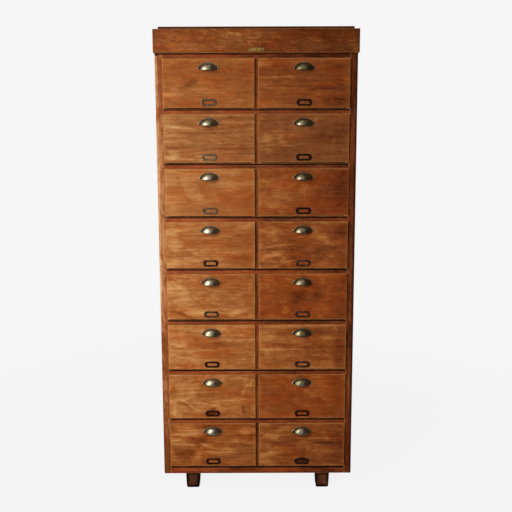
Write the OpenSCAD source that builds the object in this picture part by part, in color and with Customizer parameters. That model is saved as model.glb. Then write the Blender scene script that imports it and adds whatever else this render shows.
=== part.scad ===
// Tall cabinet of sixteen wooden drawers in two columns, on four block feet, under a boxed crown.
// Millimetres. +Z is up and the drawers open towards -Y.
// The origin is on the floor, under the middle of the overall box.

/* [Carcass] */
// Outside width of the carcass
carcass_w = 830; // [700:1:960]
// Depth of the carcass, from the front of the face frame to the back
carcass_d = 430; // [340:1:560]
// Thickness of the side panels
side_t = 20; // [15:0.5:26]
// Thickness of the partition between the two columns
partition_t = 13; // [9:0.5:22]
// Thickness of the top and bottom boards
shelf_t = 18; // [12:0.5:21]
// Thickness of the back boards
back_t = 8; // [5:0.5:12]
// Width of the rebate that holds the back boards in each side panel
rebate_w = 10; // [6:0.5:14]
// Number of boards across the back
back_boards = 5; // [3:1:8]

/* [Face frame] */
// Thickness of the stiles and rails
frame_t = 20; // [14:0.5:28]
// Width of the two stiles
stile_w = 30; // [27:0.5:44]
// Height of the rails between two drawers
rail_h = 21; // [14:0.5:32]
// Height of the bottom rail
bottom_rail_h = 35.5; // [24:0.5:60]
// Height of the top rail
top_rail_h = 21.5; // [21:0.5:40]

/* [Crown] */
// Height of the crown boards
crown_h = 94; // [60:1:140]
// Thickness of the crown boards
crown_t = 20; // [16:0.5:26]
// How far the crown stands proud of the face frame
crown_proud = 10; // [4:0.5:14]
// How far the crown stands proud of each side panel
crown_side_proud = 5; // [0:0.5:10]
// Thickness of the lid that lies inside the crown
lid_t = 18; // [12:0.5:24]
// How far the lid stands above the crown boards
lid_rise = 11; // [2:0.5:16]
// Section of the cleats that carry the lid
cleat = 15; // [10:0.5:24]

/* [Feet] */
// Height of the four blocks under the carcass
foot_h = 75; // [40:1:120]
// Width of each block at the top
foot_w = 63; // [40:1:90]
// Depth of each block
foot_d = 60; // [40:1:90]
// How much each side of a block leans in towards the floor
foot_lean = 3; // [0:0.5:6]
// Distance from the outside of the carcass to the blocks
foot_inset = 94; // [60:1:140]
// Distance from the front and back of the carcass to the blocks
foot_setback = 18; // [0:1:60]
// Radius along a block's lower edges
foot_r = 8; // [2:0.5:14]

/* [Drawers] */
// Height of a drawer front
front_h = 197.5; // [180:0.5:240]
// Thickness of a drawer front
front_t = 20; // [16:0.5:26]
// How far the closed fronts stand proud of the face frame
front_proud = 7; // [2:0.5:12]
// Gap at each end of a drawer front
front_gap_x = 1.25; // [0.8:0.05:3]
// Gap under a drawer front
front_gap_below = 3.5; // [0.8:0.1:5]
// Gap over a drawer front
front_gap_above = 1; // [0.8:0.1:3]
// Thickness of the drawer sides
drawer_side_t = 12; // [8:0.5:16]
// Height of the drawer sides
drawer_side_h = 176; // [120:1:176]
// How far the drawer sides are let into the front
drawer_lap = 11; // [5:0.5:13]
// How far the drawer sides stand in from the ends of the front
drawer_side_inset = 0.5; // [0.2:0.1:3]
// Thickness of the drawer back
drawer_back_t = 12; // [8:0.5:16]
// How much lower the drawer back is than the sides
drawer_back_drop = 8; // [2:1:30]
// Thickness of the drawer bottom
drawer_bottom_t = 5; // [3:0.5:8]
// Height of the groove that holds the drawer bottom, above the drawer's lower edge
groove_z = 9; // [6:0.5:20]
// Depth of that groove in the front and the sides
groove_depth = 6; // [3:0.5:7]
// Gap between the drawer back and the back boards
drawer_back_gap = 3; // [1:0.5:20]

/* [Runners] */
// Width of the ledge under each drawer side
ledge_w = 14; // [9:0.5:24]
// Height of the strips that guide the outer drawer sides
guide_h = 32; // [15:1:60]
// Running clearance under the drawer sides
run_gap = 0.3; // [0.2:0.05:0.8]

/* [Cup pulls] */
// Distance from the top of the front to the pull's chord
pull_drop = 49; // [46:0.5:70]
// Half length of the dome
dome_half = 36.5; // [32:0.5:42]
// Radius of the dome about its long axis
dome_r = 31; // [28:0.5:34]
// How far the dome's axis lies behind the face of the front
dome_sink = 6.5; // [3:0.5:10]
// Wall of the dome
dome_wall = 1.6; // [1:0.1:2.4]
// How far the lower lip tilts down towards its middle, in degrees
lip_tilt = 8; // [0:1:20]
// Half length of the flange
flange_half = 45.5; // [44:0.5:52]
// Height of the flange
flange_h = 34.5; // [34:0.5:42]
// Thickness of the flange
flange_t = 1.2; // [0.8:0.1:2]
// Distance from the middle of the pull to each screw
ear_x = 40.2; // [39:0.1:42]
// Height of the screws above the chord
ear_z = 4.6; // [4:0.1:7]

/* [Label holders] */
// Length of a label holder
label_w = 64; // [50:1:80]
// Height of a label holder
label_h = 28; // [24:1:36]
// Distance from the bottom of the front to the holder
label_rise = 7; // [5:0.5:20]
// Thickness of a label holder
label_t = 2.2; // [1.8:0.1:3]
// Corner radius of a label holder
label_r = 8; // [3:0.5:11]
// Width of the frame at the two ends of the window
label_end = 11.5; // [8:0.5:14]
// Width of the frame above and below the window
label_edge = 8; // [5:0.5:9]
// Depth of the pocket behind the frame
pocket_t = 1.1; // [0.6:0.1:1.4]
// How far the pocket reaches past the window at its ends
pocket_lap = 3.6; // [1:0.1:4]

/* [Name plate] */
// Length of the plate on the crown
plate_w = 65; // [40:1:90]
// Height of the plate
plate_h = 14.5; // [10:0.5:24]
// Thickness of the plate
plate_t = 1.2; // [0.8:0.1:2]
// Corner radius of the plate
plate_r = 2; // [0.5:0.5:4]
// Distance from the lower edge of the crown to the plate
plate_rise = 4; // [2:0.5:30]

/* [Screws and pins] */
// Shank radius of the screws that hold the pulls
screw_r = 1.4; // [1:0.1:1.6]
// Head radius of those screws
screw_head_r = 3; // [2.2:0.1:3.4]
// Head height of those screws
screw_head_h = 1.7; // [1:0.1:2.4]
// Length of the screws under the head
screw_l = 14; // [8:0.5:16]
// Shank radius of the pins that hold the label holders and the plate
pin_r = 0.7; // [0.5:0.1:0.9]
// Head radius of those pins
pin_head_r = 1.7; // [1.3:0.1:2]
// Head height of those pins
pin_head_h = 0.9; // [0.5:0.1:1.4]
// Length of the pins under the head
pin_l = 9; // [5:0.5:12]
// Radial clearance of the shanks in their holes
shank_gap = 0.1; // [0.05:0.05:0.2]

/* [Hidden] */
$fn = 96;
rows = 8;
columns = ["left", "right"];
// Joint line between two pieces that are glued together
glue = 0.1;
// Excess that takes a cut clear through a face
over = 1;

// Places along X
half_w = carcass_w / 2;
side_x = half_w - side_t;
opening_x = half_w - stile_w;
opening_w = opening_x - partition_t / 2;
column_x = (opening_x + partition_t / 2) / 2;
front_w = opening_w - 2 * front_gap_x;
box_w = front_w - 2 * drawer_side_inset;
bottom_w = box_w - 2 * (drawer_side_t - groove_depth + glue);
crown_half = half_w + crown_side_proud;
lid_half = crown_half - crown_t - glue;
foot_x = half_w - foot_inset - foot_w / 2;

// Places along Y
pull_reach = dome_r - dome_sink;
overall_d = carcass_d + front_proud + pull_reach;
back_y = overall_d / 2;
face_y = back_y - carcass_d;
front_y = face_y - front_proud;
behind_frame_y = face_y + frame_t;
before_back_y = back_y - back_t;
crown_y = face_y - crown_proud;
drawer_l = before_back_y - drawer_back_gap - front_y;

// Places along Z
opening_h = front_h + front_gap_below + front_gap_above;
row_pitch = opening_h + rail_h;
base_z = foot_h;
carcass_h = bottom_rail_h + rows * opening_h + (rows - 1) * rail_h + top_rail_h;
carcass_top_z = base_z + carcass_h;
crown_top_z = carcass_top_z + crown_h;
overall_h = crown_top_z + lid_rise;
lid_z = overall_h - lid_t;
pull_z = front_gap_below + front_h - pull_drop;
label_z = front_gap_below + label_rise + label_h / 2;
plate_z = carcass_top_z + plate_rise + plate_h / 2;

// Places of the pins in the label holders and the plate
label_pin_x = label_w / 2 - (label_end - pocket_lap) / 2;
plate_pin_x = plate_w / 2 - plate_h / 4;

// Lower edge of a row's opening, with row 1 at the top
function row_z(row) = base_z + bottom_rail_h + (rows - row) * row_pitch;

// Which way a column lies from the middle
function column_sign(column) = column == "left" ? -1 : 1;

// Radius of the arc with this chord half and rise
function arc_r(half, rise) = (half * half + rise * rise) / (2 * rise);

// Shapes that repeat

// Straight board between two opposite corners
module board(low, high) {
    translate(low) cube(high - low);
}

// Its children in both columns, the left one mirrored
module both_sides() {
    children();
    mirror([1, 0, 0]) children();
}

// Flat outline in XZ, thickened from y = 0 towards the front
module towards_front(thickness) {
    rotate([90, 0, 0]) linear_extrude(thickness) children();
}

// Rectangle with round corners, centred
module round_rect(width, height, r) {
    square([width - 2 * r, height], center = true);
    square([width, height - 2 * r], center = true);
    for (x = [-1, 1], z = [-1, 1])
        translate([x * (width / 2 - r), z * (height / 2 - r)]) circle(r);
}

// Part of a circle over its chord on the X axis
module segment(half, rise) {
    arc = arc_r(half, rise);
    intersection() {
        translate([0, rise - arc]) circle(arc);
        translate([-half - over, 0]) square([2 * (half + over), rise + over]);
    }
}

// Solid of revolution about X, an arc of this half length and radius
module spindle(half, radius) {
    arc = arc_r(half, radius);
    rotate([0, 90, 0]) rotate_extrude() intersection() {
        translate([radius - arc, 0]) circle(arc);
        translate([0, -half - over]) square([radius + over, 2 * (half + over)]);
    }
}

// Hole along Y from a face at y = 0 into the wood behind it
module pilot(r, depth) {
    rotate([-90, 0, 0]) translate([0, 0, -over]) cylinder(r = r, h = depth + over);
}

// Round-headed screw or pin along Y, with its seat at y = 0 and its head in front
module round_head(head_r, head_h, shank_r, length) {
    rotate([90, 0, 0]) rotate_extrude() intersection() {
        translate([0, head_h - arc_r(head_r, head_h)]) circle(arc_r(head_r, head_h));
        square([head_r + over, head_h + over]);
    }
    rotate([-90, 0, 0]) translate([0, 0, -head_h / 4]) cylinder(r = shank_r, h = length + head_h / 4);
}

// Pieces of the carcass

// Right side panel, with a rebate for the back boards
module side_panel() {
    color("saddlebrown") difference() {
        board([side_x, behind_frame_y, base_z], [half_w, back_y, carcass_top_z]);
        board([side_x - over, before_back_y, base_z - over],
              [side_x + rebate_w, back_y + over, carcass_top_z + over]);
    }
}

// Rails of the face frame, bottom rail first, and the space that they need with a clearance
module rails(clearance) {
    rail_x = opening_x - glue;
    low = [-rail_x, face_y - clearance, -clearance];
    high = [rail_x, behind_frame_y + clearance, clearance];
    bottom = [0, 0, base_z];
    top = [0, 0, carcass_top_z];
    board(low + bottom, high + bottom + [0, 0, bottom_rail_h]);
    board(low + top - [0, 0, top_rail_h], high + top);
    for (row = [1 : rows - 1]) {
        under = [0, 0, row_z(row)];
        board(low + under - [0, 0, rail_h], high + under);
    }
}

// Two stiles with the rails between them
module face_frame() {
    color("sienna") {
        both_sides() board([opening_x, face_y, base_z], [half_w, behind_frame_y, carcass_top_z]);
        rails(0);
    }
}

// Partition between the columns, notched over the rails
module centre_partition() {
    color("saddlebrown") difference() {
        board([-partition_t / 2, face_y, base_z + shelf_t],
              [partition_t / 2, before_back_y, carcass_top_z - shelf_t]);
        rails(glue);
    }
}

// Top or bottom board of the carcass, with its underside at z
module shelf(z) {
    color("peru") board([-side_x, behind_frame_y, z], [side_x, before_back_y, z + shelf_t]);
}

// Upright boards in the rebates of the side panels
module back_boards() {
    back_half = side_x + rebate_w;
    board_w = 2 * back_half / back_boards;
    color("burlywood") for (i = [0 : back_boards - 1])
        board([i * board_w - back_half + glue, before_back_y, base_z],
              [(i + 1) * board_w - back_half - glue, back_y, carcass_top_z]);
}

// Ledges under the drawer sides, the lowest on the bottom board, and strips that guide the outer sides
module drawer_runners() {
    color("burlywood") both_sides() for (row = [1 : rows]) {
        z = row_z(row);
        ledge_z = row == rows ? base_z + shelf_t : z - rail_h;
        board([partition_t / 2, behind_frame_y, ledge_z],
              [partition_t / 2 + ledge_w, before_back_y, z]);
        board([opening_x - ledge_w, behind_frame_y, ledge_z], [side_x, before_back_y, z]);
        board([opening_x, behind_frame_y, z + glue], [side_x, before_back_y, z + glue + guide_h]);
    }
}

// Pieces of the crown

// Front, returns and back of the crown, with the cleats under the lid
module crown_box() {
    color("sienna") {
        difference() {
            board([-crown_half, crown_y, carcass_top_z], [crown_half, crown_y + crown_t, crown_top_z]);
            for (x = [-1, 1]) translate([x * plate_pin_x, crown_y, plate_z])
                pilot(pin_r + shank_gap, pin_l);
        }
        both_sides() {
            board([crown_half - crown_t, crown_y + crown_t + glue, carcass_top_z],
                  [crown_half, back_y, crown_top_z]);
            board([lid_half - cleat, crown_y + crown_t + glue, lid_z - cleat],
                  [lid_half, back_y - crown_t - glue, lid_z]);
        }
        board([-lid_half, back_y - crown_t, carcass_top_z], [lid_half, back_y, crown_top_z]);
    }
}

// Lid on the cleats, standing a little above the crown boards
module crown_lid() {
    color("saddlebrown") board([-lid_half, crown_y + crown_t + glue, lid_z],
                               [lid_half, back_y - crown_t - glue, overall_h]);
}

// Blank plate on the crown, with its two pins
module name_plate() {
    color("darkgoldenrod") translate([0, crown_y, plate_z]) {
        difference() {
            towards_front(plate_t) round_rect(plate_w, plate_h, plate_r);
            for (x = [-1, 1]) translate([x * plate_pin_x, -plate_t, 0])
                pilot(pin_r + shank_gap, plate_t + over);
        }
        for (x = [-1, 1]) translate([x * plate_pin_x, -plate_t - glue, 0])
            round_head(pin_head_r, pin_head_h, pin_r, pin_l);
    }
}

// Outline of a block foot, leaning in and round at its lower corners
module foot_outline() {
    sole = foot_w / 2 - foot_lean;
    intersection() {
        polygon([[-sole, 0], [sole, 0], [foot_w / 2, foot_h], [-foot_w / 2, foot_h]]);
        union() {
            translate([-foot_w / 2, foot_r]) square([foot_w, foot_h - foot_r]);
            translate([foot_r - sole, 0]) square([2 * (sole - foot_r), foot_h]);
            for (x = [-1, 1]) translate([x * (sole - foot_r), foot_r]) circle(foot_r);
        }
    }
}

// Blocks under the four corners of the carcass
module block_feet() {
    color("#3a2418") both_sides() for (y = [face_y + foot_setback + foot_d, back_y - foot_setback])
        translate([foot_x, y, 0]) towards_front(foot_d) foot_outline();
}

// Pieces of a drawer, with x = 0 at the middle of its front, y = 0 on its face
// and z = 0 at the lower edge of its opening

// Front board, let out for the sides, grooved for the bottom and drilled for its fittings
module drawer_front() {
    color("peru") difference() {
        board([-front_w / 2, 0, front_gap_below], [front_w / 2, front_t, front_gap_below + front_h]);
        both_sides() board([box_w / 2 - drawer_side_t - glue, front_t - drawer_lap, -over],
                           [front_w / 2 + over, front_t + over, run_gap + drawer_side_h + glue]);
        board([-bottom_w / 2, front_t - groove_depth, run_gap + groove_z],
              [bottom_w / 2, front_t + over, run_gap + groove_z + drawer_bottom_t + 2 * glue]);
        for (x = [-1, 1]) {
            translate([x * ear_x, 0, pull_z + ear_z]) pilot(screw_r + shank_gap, screw_l);
            translate([x * label_pin_x, 0, label_z]) pilot(pin_r + shank_gap, pin_l);
        }
    }
}

// Right side of a drawer, grooved for the bottom
module drawer_side() {
    inner_x = box_w / 2 - drawer_side_t;
    color("burlywood") difference() {
        board([inner_x, front_t - drawer_lap + glue, run_gap],
              [box_w / 2, drawer_l, run_gap + drawer_side_h]);
        board([inner_x - over, 0, run_gap + groove_z],
              [inner_x + groove_depth, drawer_l + over, run_gap + groove_z + drawer_bottom_t + 2 * glue]);
    }
}

// Back of a drawer, over the bottom and between the sides
module drawer_back() {
    back_x = box_w / 2 - drawer_side_t - glue;
    color("burlywood")
        board([-back_x, drawer_l - drawer_back_t, run_gap + groove_z + drawer_bottom_t + 2 * glue],
              [back_x, drawer_l, run_gap + drawer_side_h - drawer_back_drop]);
}

// Bottom of a drawer, in the grooves of the front and the sides
module drawer_bottom() {
    color("wheat")
        board([-bottom_w / 2 + glue, front_t - groove_depth + glue, run_gap + groove_z + glue],
              [bottom_w / 2 - glue, drawer_l, run_gap + groove_z + glue + drawer_bottom_t]);
}

// The five boards of one drawer
module drawer() {
    drawer_front();
    both_sides() drawer_side();
    drawer_back();
    drawer_bottom();
}

// Space in front of the face and over the pull's lip, which falls towards its middle
module over_the_lip() {
    far = 2 * dome_r;
    rotate([90, 0, 90]) linear_extrude(4 * dome_half, center = true)
        polygon([[0, 0], [-far, -far * tan(lip_tilt)], [-far, far], [0, far]]);
}

// Half-dome over a flange with two screw holes, open below for the fingers
module cup_pull_shell() {
    color("#8a7a4a") difference() {
        union() {
            intersection() {
                translate([0, dome_sink, 0]) spindle(dome_half, dome_r);
                over_the_lip();
            }
            towards_front(flange_t) segment(flange_half, flange_h);
        }
        translate([0, dome_sink, 0]) spindle(dome_half - dome_wall, dome_r - dome_wall);
        for (x = [-1, 1]) translate([x * ear_x, -flange_t, ear_z])
            pilot(screw_r + shank_gap, flange_t + over);
    }
}

// Cup pull with its two screws
module cup_pull() {
    translate([0, 0, pull_z]) {
        cup_pull_shell();
        color("#6e6140") for (x = [-1, 1]) translate([x * ear_x, -flange_t - glue, ear_z])
            round_head(screw_head_r, screw_head_h, screw_r, screw_l);
    }
}

// Frame that holds a paper label, with its pocket open at the top, and its two pins
module label_holder() {
    window_w = label_w - 2 * label_end;
    window_h = label_h - 2 * label_edge;
    pocket_w = window_w + 2 * pocket_lap;
    pocket_low = -window_h / 2 - label_edge / 2;
    translate([0, 0, label_z]) {
        color("#3b3128") difference() {
            towards_front(label_t) round_rect(label_w, label_h, label_r);
            board([-window_w / 2, -label_t - over, -window_h / 2], [window_w / 2, over, window_h / 2]);
            board([-pocket_w / 2, -pocket_t, pocket_low], [pocket_w / 2, over, label_h / 2 + over]);
            for (x = [-1, 1]) translate([x * label_pin_x, -label_t, 0])
                pilot(pin_r + shank_gap, label_t + over);
        }
        color("#4a3d2c") for (x = [-1, 1]) translate([x * label_pin_x, -label_t - glue, 0])
            round_head(pin_head_r, pin_head_h, pin_r, pin_l);
    }
}

// Its children at one drawer's place
module at_drawer(column, row) {
    translate([column_sign(column) * column_x, front_y, row_z(row)]) children();
}

mirror([1, 0, 0]) side_panel();  // left_side_panel
side_panel();  // right_side_panel
centre_partition();
shelf(carcass_top_z - shelf_t);  // carcass_top
shelf(base_z);  // carcass_bottom
back_boards();
face_frame();
drawer_runners();
crown_box();
crown_lid();
name_plate();
block_feet();
for (column = columns, row = [1 : rows]) {
    at_drawer(column, row) drawer();
    at_drawer(column, row) cup_pull();
    at_drawer(column, row) label_holder();
}
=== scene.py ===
import math
import random

import bmesh
import bpy
from mathutils import Matrix, Vector


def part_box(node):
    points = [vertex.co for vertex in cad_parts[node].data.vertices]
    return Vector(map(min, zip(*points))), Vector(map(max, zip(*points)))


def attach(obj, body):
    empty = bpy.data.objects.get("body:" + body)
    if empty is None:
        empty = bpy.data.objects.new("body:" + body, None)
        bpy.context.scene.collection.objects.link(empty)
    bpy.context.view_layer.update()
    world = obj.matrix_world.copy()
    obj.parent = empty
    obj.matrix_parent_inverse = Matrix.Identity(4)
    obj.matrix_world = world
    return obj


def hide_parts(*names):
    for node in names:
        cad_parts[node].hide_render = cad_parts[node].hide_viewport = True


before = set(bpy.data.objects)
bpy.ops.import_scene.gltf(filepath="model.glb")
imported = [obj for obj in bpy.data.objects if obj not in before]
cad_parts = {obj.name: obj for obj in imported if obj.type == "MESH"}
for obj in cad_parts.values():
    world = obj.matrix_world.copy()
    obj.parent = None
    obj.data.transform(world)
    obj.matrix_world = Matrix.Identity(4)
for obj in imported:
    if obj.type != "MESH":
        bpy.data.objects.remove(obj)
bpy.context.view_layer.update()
mm = 0.001
columns = ("left", "right")
rows = range(1, 9)
cabinet = "cabinet"
sharpEdge = 0.6                     # radians between the faces of an edge that is eased
smoothBelow = math.radians(38)      # rounded metal is shaded smooth up to this angle


def paint(red, green, blue):  # screen colour, 0 to 255, as the linear colour that a shader takes
    parts = [value / 255 for value in (red, green, blue)]
    return (*[p / 12.92 if p < 0.04 else ((p + 0.055) / 1.055) ** 2.4 for p in parts], 1.0)


class Wire:  # a shader socket that takes part in sums
    def __init__(self, sheet, socket):
        self.sheet = sheet
        self.socket = socket

    def __add__(self, other):
        return self.sheet.maths("ADD", self, other)

    def __radd__(self, other):
        return self.sheet.maths("ADD", other, self)

    def __sub__(self, other):
        return self.sheet.maths("SUBTRACT", self, other)

    def __rsub__(self, other):
        return self.sheet.maths("SUBTRACT", other, self)

    def __mul__(self, other):
        return self.sheet.maths("MULTIPLY", self, other)

    def __rmul__(self, other):
        return self.sheet.maths("MULTIPLY", other, self)

    def __truediv__(self, other):
        return self.sheet.maths("DIVIDE", self, other)

    def __rtruediv__(self, other):
        return self.sheet.maths("DIVIDE", other, self)


class Sheet:  # the nodes of one material or of the world
    def __init__(self, tree):
        self.tree = tree
        tree.nodes.clear()

    def node(self, kind, settings, sockets, out=0):
        made = self.tree.nodes.new(kind)
        for key, value in settings.items():
            if key == "stops":
                self.setStops(made.color_ramp, value)
            else:
                setattr(made, key, value)
        for key, value in sockets.items():
            if isinstance(value, Wire):
                self.tree.links.new(value.socket, made.inputs[key])
            else:
                made.inputs[key].default_value = value
        if isinstance(out, tuple):
            return [Wire(self, made.outputs[key]) for key in out]
        return Wire(self, made.outputs[out]) if made.outputs else None

    def setStops(self, ramp, stops):
        ramp.elements[0].position = stops[0][0]
        ramp.elements[1].position = stops[-1][0]
        for place, colour in stops[1:-1]:
            ramp.elements.new(place)
        for element, (place, colour) in zip(ramp.elements, stops):
            element.color = colour

    def maths(self, operation, *values):
        return self.node("ShaderNodeMath", {"operation": operation}, dict(enumerate(values)))

    def vector(self, operation, *values, out=0):
        return self.node("ShaderNodeVectorMath", {"operation": operation}, dict(enumerate(values)), out)

    def mix(self, factor, first, second, blend="MIX"):
        settings = {"data_type": "RGBA", "blend_type": blend}
        return self.node("ShaderNodeMix", settings, {0: factor, 6: first, 7: second}, 2)

    def ramp(self, factor, stops):
        return self.node("ShaderNodeValToRGB", {"stops": stops}, {0: factor})

    def rise(self, value, low, high):  # 0 below low, 1 above high, smooth between them
        settings = {"interpolation_type": "SMOOTHSTEP"}
        return self.node("ShaderNodeMapRange", settings, {0: value, 1: low, 2: high, 3: 0.0, 4: 1.0})

    def noise(self, place, stretch, detail=2.0, roughness=0.5, distortion=0.0, out=0):
        return self.node("ShaderNodeTexNoise", {}, {
            "Vector": self.vector("MULTIPLY", place, stretch),
            "Scale": 1.0,
            "Detail": detail,
            "Roughness": roughness,
            "Distortion": distortion,
        }, out)

    def attribute(self, name, out="Vector"):
        return self.node("ShaderNodeAttribute", {"attribute_name": name}, {}, out)

    def parts(self, place):
        return self.node("ShaderNodeSeparateXYZ", {}, {0: place}, (0, 1, 2))

    def bump(self, height, strength, depth):
        return self.node("ShaderNodeBump", {}, {"Height": height, "Strength": strength, "Distance": depth})

    def rays(self):  # which kind of ray is looking
        kinds = ("Is Camera Ray", "Is Glossy Ray", "Is Transmission Ray")
        return self.node("ShaderNodeLightPath", {}, {}, kinds)


def newFinish(name):
    material = bpy.data.materials.new(name)
    material.use_nodes = True
    return material, Sheet(material.node_tree)


def closeFinish(sheet, sockets):
    surface = sheet.node("ShaderNodeBsdfPrincipled", {}, sockets)
    sheet.node("ShaderNodeOutputMaterial", {}, {"Surface": surface})


# Shapes

def boxShape(low, high, ease, segments=2):
    low, high = Vector(low), Vector(high)
    shape = bmesh.new()
    bmesh.ops.create_cube(shape, size=1.0)
    bmesh.ops.scale(shape, vec=high - low, verts=shape.verts)
    bmesh.ops.translate(shape, vec=(low + high) / 2, verts=shape.verts)
    return easeEdges(shape, ease, segments) if ease else shape


def bevelEdges(shape, edges, ease, segments):
    bmesh.ops.bevel(shape, geom=edges, offset=ease, segments=segments, profile=0.5, affect="EDGES",
                    clamp_overlap=True)


def easeEdges(shape, ease, segments=2):  # takes the sharp edges off
    sharp = [edge for edge in shape.edges if edge.calc_face_angle(0.0) > sharpEdge]
    bevelEdges(shape, sharp, ease, segments)
    return shape


def outlineShape(outline, axis, low, high, ease):  # a flat outline drawn out along an axis
    first, second = [a for a in range(3) if a != axis]
    shape = bmesh.new()
    ends = []
    for place in (low, high):
        loop = []
        for point in outline:
            spot = [0.0] * 3
            spot[axis], spot[first], spot[second] = place, point[0], point[1]
            loop.append(shape.verts.new(spot))
        ends.append(loop)
    shape.faces.new(ends[0])
    shape.faces.new(ends[1])
    for i in range(len(outline)):
        j = (i + 1) % len(outline)
        shape.faces.new((ends[0][i], ends[0][j], ends[1][j], ends[1][i]))
    bmesh.ops.recalc_face_normals(shape, faces=shape.faces)
    return easeEdges(shape, ease)


def looseObject(shape):
    mesh = bpy.data.meshes.new("loose")
    shape.to_mesh(mesh)
    shape.free()
    made = bpy.data.objects.new("loose", mesh)
    bpy.context.scene.collection.objects.link(made)
    return made


def carve(shape, cutters):  # takes the cutters out of a shape
    body = looseObject(shape)
    tools = [looseObject(cutter) for cutter in cutters]
    for tool in tools:
        cut = body.modifiers.new("cut", "BOOLEAN")
        cut.operation = "DIFFERENCE"
        cut.solver = "EXACT"
        cut.object = tool
    depsgraph = bpy.context.evaluated_depsgraph_get()
    mesh = bpy.data.meshes.new_from_object(body.evaluated_get(depsgraph))
    carved = bmesh.new()
    carved.from_mesh(mesh)
    for made in (body, *tools):
        data = made.data
        bpy.data.objects.remove(made)
        bpy.data.meshes.remove(data)
    bpy.data.meshes.remove(mesh)
    return carved


class Stack:  # shapes gathered into one piece, with what their finish needs to know at each point
    def __init__(self):
        self.points = []
        self.faces = []
        self.data = {"place": [], "half": [], "grain": [], "tone": [], "crevice": []}

    def addShape(self, shape, centre, half, order, draw, tone, crevice):
        start = len(self.points)
        shape.verts.index_update()
        origin = Vector([draw.uniform(0.0, 40.0) for axis in order])
        for vert in shape.verts:
            local = vert.co - centre
            place = Vector([local[axis] for axis in order])
            self.points.append(vert.co.copy())
            self.data["place"].append(place)
            self.data["half"].append([half[axis] for axis in order])
            self.data["grain"].append(place + origin)
            self.data["tone"].append(tone)
            self.data["crevice"].append(crevice(vert.co) if crevice else 0.0)
        self.faces += [[start + vert.index for vert in face.verts] for face in shape.faces]
        shape.free()

    def addWood(self, shape, along, draw, tone=0.0, crevice=None):  # the grain runs along one axis
        low = Vector([min(v.co[a] for v in shape.verts) for a in range(3)])
        high = Vector([max(v.co[a] for v in shape.verts) for a in range(3)])
        half = (high - low) / 2
        order = [along] + sorted([a for a in range(3) if a != along], key=lambda a: -half[a])
        self.addShape(shape, (low + high) / 2, half, order, draw, tone, crevice)

    def addMetal(self, shape, centre, draw, tone=0.0, crevice=None):
        self.addShape(shape, centre, (0.0, 0.0, 0.0), (0, 1, 2), draw, tone, crevice)

    def piece(self, name, finish, body, node, smooth=False):
        mesh = bpy.data.meshes.new(name)
        mesh.from_pydata(self.points, [], self.faces)
        for key in ("place", "half", "grain"):
            values = [value for point in self.data[key] for value in point]
            mesh.attributes.new(key, "FLOAT_VECTOR", "POINT").data.foreach_set("vector", values)
        for key in ("tone", "crevice"):
            mesh.attributes.new(key, "FLOAT", "POINT").data.foreach_set("value", self.data[key])
        mesh.materials.append(finish)
        if smooth:
            mesh.shade_smooth()
            mesh.set_sharp_from_angle(angle=smoothBelow)
        made = bpy.data.objects.new(name, mesh)
        bpy.context.scene.collection.objects.link(made)
        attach(made, body)
        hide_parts(node)


# Wood finishes

plainWood = {
    "dark": paint(84, 36, 12),
    "mid": paint(150, 80, 33),
    "pale": paint(204, 134, 70),
    "worn": paint(198, 132, 72),
    "redder": (1.05, 0.9, 0.78, 1.0),
    "yellower": (0.96, 1.13, 1.32, 1.0),
    "yellow": 0.0,          # more of the yellow tint, or less
    "paleYellow": 0.0,      # how much more of it the paler parts have
    "rings": 34.0,          # growth lines in a metre
    "wave": 1.6,            # how far they wander, in lines
    "cloud": 0.32,          # the figure's parts, from broad to fine
    "mottle": 0.2,
    "streak": 0.06,
    "band": 0.1,
    "thread": 0.04,
    "fibre": 0.12,
    "curl": 0.075,          # short strokes across the grain
    "slant": 0.6,           # how far they lean
    "fleck": 0.0,           # pale squiggles in patches
    "lift": 0.0,            # paler or darker all over
    "toneSpread": 0.25,     # from board to board
    "edgeWear": 0.4,
    "edgeWidth": 1.8 * mm,
    "edgeGrimeAndLight": 0.08,          # darker towards the edges; below zero, a painted highlight there
    "edgeTintReach": 22 * mm,
    "dirtAndShade": 0.8,            # darker where a piece's mask is set, for dirt and for painted shade
    "paintedShadow": 0.0,            # painted shadow: a dark line along the upper edge, under the part above
    "paintedShadowWidth": 8 * mm,
    "roughness": 0.46,
    "shine": 0.06,
    "relief": 0.2,
    "marks": [],            # along, across, half length, half height in millimetres, angle, amount
}


def edgeDistance(sheet):  # from a point on a board to the board's nearest edge
    offset = sheet.vector("ABSOLUTE", sheet.attribute("place"))
    a, b, c = sheet.parts(sheet.vector("SUBTRACT", sheet.attribute("half"), offset))
    larger = sheet.maths("MAXIMUM", a, b)
    return sheet.maths("MAXIMUM", sheet.maths("MINIMUM", a, b), sheet.maths("MINIMUM", larger, c))


def strayed(sheet, point, grain, stretch, detail, reach):  # a point moved about by soft noise
    drift = sheet.noise(grain, stretch, detail, out="Color")
    centred = sheet.vector("SUBTRACT", drift, (0.5, 0.5, 0.5))
    return sheet.vector("ADD", point, sheet.vector("MULTIPLY", centred, reach))


def peaksAndHollows(sheet, field, inner, outer):  # 1 on the peaks of a noise, -1 in its hollows
    peaks = sheet.rise(field, 0.5 + inner, 0.5 + outer)
    hollows = sheet.rise(field, 0.5 - outer, 0.5 - inner)
    return peaks + hollows - 1.0


def softMarks(sheet, spot, marks):  # ovals that fade out at their rims
    along, across, through = sheet.parts(spot)
    total = 0.0
    for x, z, halfX, halfZ, angle, amount in marks:
        turn = math.radians(angle)
        stepX = along - x * mm
        stepZ = across - z * mm
        u = (stepX * math.cos(turn) + stepZ * math.sin(turn)) / (halfX * mm)
        v = (stepZ * math.cos(turn) - stepX * math.sin(turn)) / (halfZ * mm)
        total = total + sheet.rise(1.0 - u * u - v * v, -0.4, 1.0) * amount
    return total


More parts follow.
